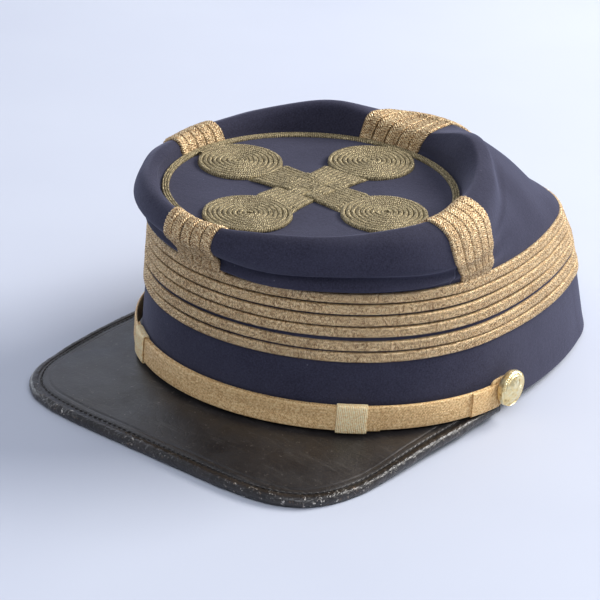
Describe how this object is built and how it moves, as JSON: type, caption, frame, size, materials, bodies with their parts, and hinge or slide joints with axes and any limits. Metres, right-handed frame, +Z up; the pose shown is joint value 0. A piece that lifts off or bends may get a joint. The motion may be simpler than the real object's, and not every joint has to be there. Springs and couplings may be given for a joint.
{
  "type": "military peaked cap",
  "caption": "Soft woollen officer's kepi with a flat leather visor, gold lace rows, a corded knot on the recessed top and a lace chin strap on side buttons.",
  "frame": {"origin": "centre of the bounding box's bottom face: the cap stands on the visor's free edge and the back of the band", "axes": "+Z up, visor towards -Y, +X towards the wearer's left"},
  "size_m": [0.1772, 0.2408, 0.0961],
  "materials": {
    "wool": "napped navy wool broadcloth, matt",
    "gold_lace": "flat woven metallic lace, soft sheen",
    "gold_cord": "twisted metallic cord, slightly tarnished",
    "visor_leather": "black enamelled leather, worn and crackled",
    "visor_underside": "dull green-black leather",
    "pasteboard": "raw pasteboard",
    "buckram": "stiff buckram",
    "sweatband_leather": "brown leather, polished by wear",
    "tape": "cotton tape",
    "lining": "glazed cotton",
    "thread": "waxed thread",
    "gilt_brass": "gilt, satin"
  },
  "bodies": {
    "cap": {"band_cloth": "wool", "band_stiffener": "buckram", "braid_back": "gold_cord", "braid_front": "gold_cord", "braid_left": "gold_cord", "braid_right": "gold_cord", "crown_back_left": "wool", "crown_back_right": "wool", "crown_front_left": "wool", "crown_front_right": "wool", "crown_top_cloth": "wool", "eyelet_left": "gilt_brass", "eyelet_right": "gilt_brass", "knot_centre": "gold_cord", "knot_coil_back": "gold_cord", "knot_coil_front": "gold_cord", "knot_coil_left": "gold_cord", "knot_coil_right": "gold_cord", "lace_row_1": "gold_lace", "lace_row_2": "gold_lace", "lace_row_3": "gold_lace", "lace_row_4": "gold_lace", "lace_row_5": "gold_lace", "lace_row_6": "gold_lace", "ring_braid": "gold_cord", "side_lining": "lining", "sweatband": "sweatband_leather", "sweatband_tape": "tape", "top_board": "pasteboard", "top_lining": "lining", "visor_binding": "visor_leather", "visor_core": "pasteboard", "visor_lining": "visor_underside", "visor_stitching": "thread", "visor_top": "visor_leather"},
    "chin_strap": {"strap_left": "gold_lace", "strap_right": "gold_lace"},
    "keeper_left": {"keeper_left": "gold_lace"},
    "keeper_right": {"keeper_right": "gold_lace"},
    "button_left": {"button_left_back": "gilt_brass", "button_left_dome": "gilt_brass", "button_left_pin": "gilt_brass"},
    "button_right": {"button_right_back": "gilt_brass", "button_right_dome": "gilt_brass", "button_right_pin": "gilt_brass"}
  },
  "joints": [
    {"name": "chin_strap_swing", "type": "hinge", "parent": "cap", "child": "chin_strap", "pos_m": [0, 0.00297, 0.01472], "axis": [-1, 0, 0], "range_deg": [0, 5]},
    {"name": "keeper_left_slide", "type": "hinge", "parent": "chin_strap", "child": "keeper_left", "pos_m": [0, -0.00367, 0.01204], "axis": [0, 0.0486, 0.9988], "range_deg": [-6, 6]},
    {"name": "keeper_right_slide", "type": "hinge", "parent": "chin_strap", "child": "keeper_right", "pos_m": [0, -0.00367, 0.01204], "axis": [0, 0.0486, 0.9988], "range_deg": [-6, 6]},
    {"name": "button_left_turn", "type": "hinge", "parent": "cap", "child": "button_left", "pos_m": [0.084, 0.00297, 0.01472], "axis": [1, 0, 0], "continuous": true},
    {"name": "button_right_turn", "type": "hinge", "parent": "cap", "child": "button_right", "pos_m": [-0.084, 0.00297, 0.01472], "axis": [-1, 0, 0], "continuous": true}
  ]
}
